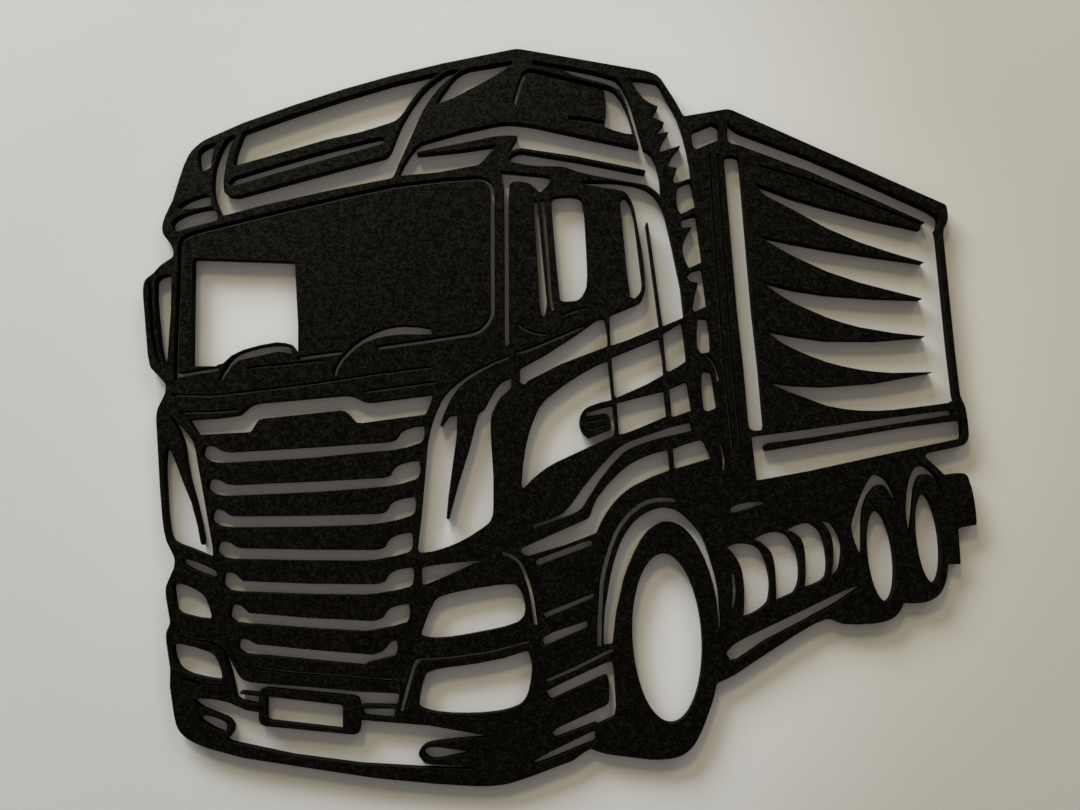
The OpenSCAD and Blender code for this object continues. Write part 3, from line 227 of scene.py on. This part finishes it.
# These blends paint the light's falloff into the paper: lit middle, warmer right, shaded outer ring,
# grey far off.
painted_light_middle = paper.blend(painted_tint_to_right, PAINTED_LIGHT_MIDDLE_LEFT, PAINTED_LIGHT_MIDDLE_RIGHT)
painted_shade_outer = paper.blend(painted_tint_to_right, PAINTED_SHADE_OUTER_LEFT, PAINTED_SHADE_OUTER_RIGHT)
painted_light_and_shade_near = paper.blend(painted_falloff_outwards, painted_light_middle, painted_shade_outer)
paper_painted_light_and_shade = paper.blend(painted_falloff_far_off, painted_light_and_shade_near, PAINTED_SHADE_FAR_GREY)
paper_bump = paper.add(
    "ShaderNodeBump", None, {"Strength": 0.25, "Distance": 0.0001, "Height": paper_fibre}
)
paper.shade(**{"Base Color": paper_painted_light_and_shade, "Roughness": 0.9, "Normal": paper_bump.outputs[0]})
print("paper nodes:", len(paper.tree.nodes))


# %% Pale table
def flat_sheet(name, half, height, squares=8):
    """A square sheet: x and y run over a grid from -half to half, and z is the same everywhere."""
    side = squares + 1
    steps = np.linspace(-half, half, side)
    x, y = np.meshgrid(steps, steps)
    points = np.stack([x.ravel(), y.ravel(), np.full(x.size, height)], axis=1)
    corner = (np.arange(squares)[:, None] * side + np.arange(squares)[None, :]).ravel()
    quads = np.stack([corner, corner + 1, corner + side + 1, corner + side], axis=1)
    mesh = bpy.data.meshes.new(name)
    mesh.from_pydata(points.tolist(), [], quads.tolist())
    sheet = bpy.data.objects.new(name, mesh)
    scene.collection.objects.link(sheet)
    return sheet


just_under_plate = -0.00003
table = flat_sheet("table", half=1.1, height=just_under_plate)
table.data.materials.append(paper.material)
print("table sides in m:", tuple(round(side, 2) for side in table.dimensions))


# %% Window, ceiling lamp, pale wall and sky
def broad_lamp(name, place, size, power, tint):
    """A rectangular lamp at a place, turned to shine on the middle of the plate."""
    lamp = bpy.data.lights.new(name, "AREA")
    lamp.shape = "RECTANGLE"
    lamp.size, lamp.size_y = size
    lamp.energy = power
    lamp.color = tint
    holder = bpy.data.objects.new(name, lamp)
    holder.location = place
    holder.rotation_mode = "QUATERNION"
    holder.rotation_quaternion = holder.location.to_track_quat("Z", "Y")
    scene.collection.objects.link(holder)
    return holder


lamps = [
    broad_lamp("window", (-1.15, 1.93, 0.60), (1.75, 0.56), 94.5, (0.77, 0.86, 1.0)),
    broad_lamp("ceiling_lamp", (-0.63, 1.94, 1.37), (0.50, 0.34), 15.8, (1.0, 0.83, 0.46)),
    broad_lamp("pale_wall", (1.11, 1.93, 0.90), (1.5, 0.6), 12.0, (1.0, 0.98, 0.87)),
]

sky = bpy.data.worlds.new("sky")
sky.use_nodes = True
background = sky.node_tree.nodes["Background"]
background.inputs["Color"].default_value = (1.0, 0.93, 0.83, 1.0)
background.inputs["Strength"].default_value = 0.228
scene.world = sky
print("lamps in m from the plate:", [round(lamp.location.length, 2) for lamp in lamps])

# %% [markdown]
# ## Black printed plastic
#
# The front face was printed against a textured bed, so it is covered in fine pits, about half a
# millimetre across, that make the gloss mottled. They show as grey specks painted into the front's
# colour, partly the grain's own grey and partly painted glints where the pits catch the light. The
# walls show the printed layers, a fifth of a millimetre each. A picture of the surface could be laid
# on, but it would stretch over the walls. Noise in the plate's own coordinates runs on across every
# piece, as in one print, and the height above the table tells the front face from the walls. The
# lengths here are in millimetres.

# %% Measures of the plastic
LAYER = 0.2
FRONT_STARTS = 0.04
FRONT_FULL = 0.004
PIT_SIZE = 0.65
PIT_SHARE = 0.65
PIT_DEPTH = 0.09
COARSE_SIZE = 1.7
COARSE_SHARE = 0.35
COARSE_DEPTH = 0.06
CLOUD_SIZE = 45.0
LAYER_DEPTH = 0.006
DEEP_BLACK = (0.0001, 0.0001, 0.0001, 1.0)
# Grey of the specks: partly the grain's own grey, partly painted glints.
SPECK_AND_GLINT_GREY = (0.0064, 0.0060, 0.0046, 1.0)
WARM_SHINE = (1.0, 0.90, 0.66, 1.0)
WALL_ROUGHNESS = 0.85
FRONT_ROUGHNESS = 0.29
CLOUD_ROUGHNESS = 0.06
MOTTLE_ROUGHNESS = 0.34
print("layers in the plate:", round(plate_top * MM_PER_M / LAYER))

# %% The plastic's finish
plastic = Finish("black_printed_plastic")
spot = plastic.place_in_mm()
height = plastic.coordinate(spot, 2)
top = plate_top * MM_PER_M
front = plastic.between(height, low=top - FRONT_STARTS, high=top - FRONT_FULL)
pits = plastic.noise(spot, PIT_SIZE, roughness=0.55)
coarse = plastic.noise(spot, COARSE_SIZE)
cloud = plastic.noise(spot, CLOUD_SIZE, detail=3.0)
texture = PIT_SHARE * pits + COARSE_SHARE * coarse
mottle = plastic.between(texture, low=0.40, high=0.62)
# Specks on the front face: grain, partly painted glints.
speck_and_glint = plastic.between(texture, low=0.48, high=0.66) * front
phase = height * (2 * math.pi / LAYER)
layers = plastic.varying("ShaderNodeMath", {"operation": "SINE"}, {0: phase})

black = plastic.blend(speck_and_glint, DEEP_BLACK, SPECK_AND_GLINT_GREY)
front_roughness = FRONT_ROUGHNESS + CLOUD_ROUGHNESS * cloud + MOTTLE_ROUGHNESS * mottle
roughness = (1 - front) * WALL_ROUGHNESS + front * front_roughness
front_relief = PIT_DEPTH * pits + COARSE_DEPTH * coarse
relief = front * front_relief + (1 - front) * (LAYER_DEPTH * layers)
grain = plastic.add(
    "ShaderNodeBump", None, {"Strength": 1.0, "Distance": 1 / MM_PER_M, "Height": relief}
)
plastic.shade(
    **{
        "Base Color": black,
        "Roughness": roughness,
        "Normal": grain.outputs[0],
        "Specular IOR Level": 0.10,
        "Specular Tint": WARM_SHINE,
    }
)
print("plastic nodes:", len(plastic.tree.nodes))

# %% [markdown]
# ## Outlines of the CAD pieces
#
# Each CAD piece is a plate with straight walls, so its front face tells all about it. Its corner
# points are stored once for every triangle, and are merged first, on a grid of a ten-thousandth
# of a millimetre. An edge of the front face that belongs to only one triangle is part of the
# outline, and it runs with the plastic on its left.

# %% Front face and outline of one piece
GRID_STEP = 1e-7
STEPS_PER_M = 1e7
FRONT_TOLERANCE = 1e-5


def front_face(node):
    """Merged (x, y) corners, the front triangles, and the outline's directed edges, all as arrays."""
    mesh = node.data
    points = np.zeros(len(mesh.vertices) * 3)
    mesh.vertices.foreach_get("co", points)
    points = points.reshape(-1, 3)
    mesh.calc_loop_triangles()
    triangles = np.zeros(len(mesh.loop_triangles) * 3, dtype=np.int64)
    mesh.loop_triangles.foreach_get("vertices", triangles)
    triangles = triangles.reshape(-1, 3)
    at_front = points[triangles][:, :, 2] > plate_top - FRONT_TOLERANCE
    triangles = triangles[at_front.all(axis=1)]
    flat = np.round(points[:, :2] * STEPS_PER_M).astype(np.int64)
    corners, merged = np.unique(flat, axis=0, return_inverse=True)
    triangles = merged.reshape(-1)[triangles]
    used, triangles = np.unique(triangles, return_inverse=True)
    triangles = triangles.reshape(-1, 3)
    edges = triangles[:, [0, 1, 1, 2, 2, 0]].reshape(-1, 2)
    count = len(used)
    key = edges[:, 0] * count + edges[:, 1]
    back = edges[:, 1] * count + edges[:, 0]
    return corners[used] * GRID_STEP, triangles, edges[~np.isin(key, back)]


faces = {name: front_face(node) for name, node in sorted(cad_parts.items())}
print("outline edges in all:", sum(len(edges) for corners, triangles, edges in faces.values()))

# %% [markdown]
# ## Where two pieces meet
#
# The real plaque is one print, so where two pieces meet there is no groove. The rim is rounded
# only along free edges. An edge is a joint when its middle lies on the outline of another piece:
# the distance from every middle to every outline edge is worked out as one table per piece.

# %% Free edges and joints
JOINT_REACH = 2e-6
TINY = 1e-9

starts = np.concatenate([corners[edges[:, 0]] for corners, triangles, edges in faces.values()])
ends = np.concatenate([corners[edges[:, 1]] for corners, triangles, edges in faces.values()])
owner = np.concatenate([np.full(len(face[2]), number) for number, face in enumerate(faces.values())])


def joint_edges(number, corners, edges):
    """True for each edge whose middle is within the joint's reach of another piece's outline."""
    middle = (corners[edges[:, 0]] + corners[edges[:, 1]]) / 2
    others = owner != number
    start = starts[others]
    along = ends[others] - start
    offset = middle[:, None, :] - start[None, :, :]
    share = (offset * along).sum(axis=2) / np.maximum((along * along).sum(axis=1), TINY ** 2)
    nearest = offset - np.clip(share, 0, 1)[:, :, None] * along
    return (np.hypot(nearest[:, :, 0], nearest[:, :, 1]) < JOINT_REACH).any(axis=1)


joints = {
    name: joint_edges(number, face[0], face[2])
    for number, (name, face) in enumerate(faces.items())
}
print("joint edges:", int(sum(joint.sum() for joint in joints.values())))

# %% [markdown]
# ## The rim's profile, carried along the outline
#
# Seen in section, the wall of a print starts with a slightly drawn-in back edge, runs straight up
# and rolls over a fine rim onto the front face. The Bevel modifier could round the edge, but it
# stops everywhere at the shortest edge of the outline. Here the section is a short table of
# inset and height, and it is carried round each outline: every corner moves inwards along the
# line that keeps the same inset from both of its edges, or none from an edge that is a joint.

# %% The section of the wall
RIM = 0.00012
BACK_INSET = 0.00008
BACK_HEIGHT = 0.00010

turn = np.radians([0, 22.5, 45, 67.5, 90])
section_inset = np.concatenate([[BACK_INSET, 0.0], RIM * (1 - np.cos(turn))])
section_height = np.concatenate([[0.0, BACK_HEIGHT], plate_top - RIM + RIM * np.sin(turn)])
section = np.stack([section_inset, section_height], axis=1)
print("section in mm:", np.round(section * MM_PER_M, 3).tolist())

# %% Inset directions at the corners
NEARLY_STRAIGHT = 0.05
LONGEST_MOVE = 2.5


def inset_moves(corners, edges, joint):
    """How far each corner moves for an inset of 1.

    With unit inward normals n1 and n2 of the two edges at a corner, the move m satisfies
    m.n1 = d1 and m.n2 = d2, where d is 1 on a free edge and 0 on a joint. Solved as a pair of
    equations, and kept to two and a half insets where the corner is very sharp.
    """
    along = corners[edges[:, 1]] - corners[edges[:, 0]]
    along = along / np.linalg.norm(along, axis=1, keepdims=True)
    inward = np.stack([-along[:, 1], along[:, 0]], axis=1)
    depth = np.where(joint, 0.0, 1.0)
    before = np.zeros(len(corners), dtype=np.int64)
    after = np.zeros(len(corners), dtype=np.int64)
    before[edges[:, 1]] = np.arange(len(edges))
    after[edges[:, 0]] = np.arange(len(edges))
    n1, n2 = inward[before], inward[after]
    d1, d2 = depth[before], depth[after]
    cross = n1[:, 0] * n2[:, 1] - n1[:, 1] * n2[:, 0]
    straight = np.abs(cross) < NEARLY_STRAIGHT
    safe = np.where(straight, 1.0, cross)
    move_x = (d1 * n2[:, 1] - d2 * n1[:, 1]) / safe
    move_y = (d2 * n1[:, 0] - d1 * n2[:, 0]) / safe
    move = np.stack([move_x, move_y], axis=1)
    mean = (n1 + n2) / np.maximum(np.linalg.norm(n1 + n2, axis=1, keepdims=True), TINY)
    move = np.where(straight[:, None], mean * np.minimum(d1, d2)[:, None], move)
    reach = np.linalg.norm(move, axis=1, keepdims=True)
    return move * np.minimum(1.0, LONGEST_MOVE / np.maximum(reach, TINY))


sample = inset_moves(*faces["windscreen"][::2], joints["windscreen"])
longest = float(np.linalg.norm(sample, axis=1).max())
print("windscreen corners:", len(sample), "longest move:", round(longest, 2))

# %% One printed piece
SHARP_ANGLE = math.radians(32)


def printed_piece(name):
    """The section carried round the outline, closed by the front face and its mirror at the back.

    Point (ring k, corner i) = corner i + inset k * move i, at height k. Neighbouring rings are
    joined along each outline edge, and the two end rings carry the front triangles.
    """
    corners, triangles, edges = faces[name]
    count = len(corners)
    rings = len(section_inset)
    moves = inset_moves(corners, edges, joints[name])
    place = corners[None, :, :] + section_inset[:, None, None] * moves
    levels = np.broadcast_to(section_height[:, None, None], (rings, count, 1))
    points = np.concatenate([place, levels], axis=2)
    lower = np.arange(rings - 1)[:, None] * count
    first = (lower + edges[:, 0]).ravel()
    second = (lower + edges[:, 1]).ravel()
    walls = np.stack([first, second, second + count, first + count], axis=1)
    caps = np.concatenate([triangles[:, ::-1], triangles + (rings - 1) * count])
    mesh = bpy.data.meshes.new(name + "_print")
    mesh.from_pydata(points.reshape(-1, 3).tolist(), [], walls.tolist() + caps.tolist())
    rounded = np.concatenate([np.ones(len(walls), dtype=bool), np.zeros(len(caps), dtype=bool)])
    mesh.set_sharp_from_angle(angle=SHARP_ANGLE)
    mesh.polygons.foreach_set("use_smooth", rounded)
    mesh.validate()
    mesh.materials.append(plastic.material)
    piece = bpy.data.objects.new(name + "_print", mesh)
    scene.collection.objects.link(piece)
    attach(piece, "root")
    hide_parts(name)
    return piece


prints = [printed_piece(name) for name in faces]
print("printed pieces:", len(prints), "faces:", sum(len(piece.data.polygons) for piece in prints))

# %% [markdown]
# ## The size
#
# The dressed plate has to stay inside the CAD model's box.
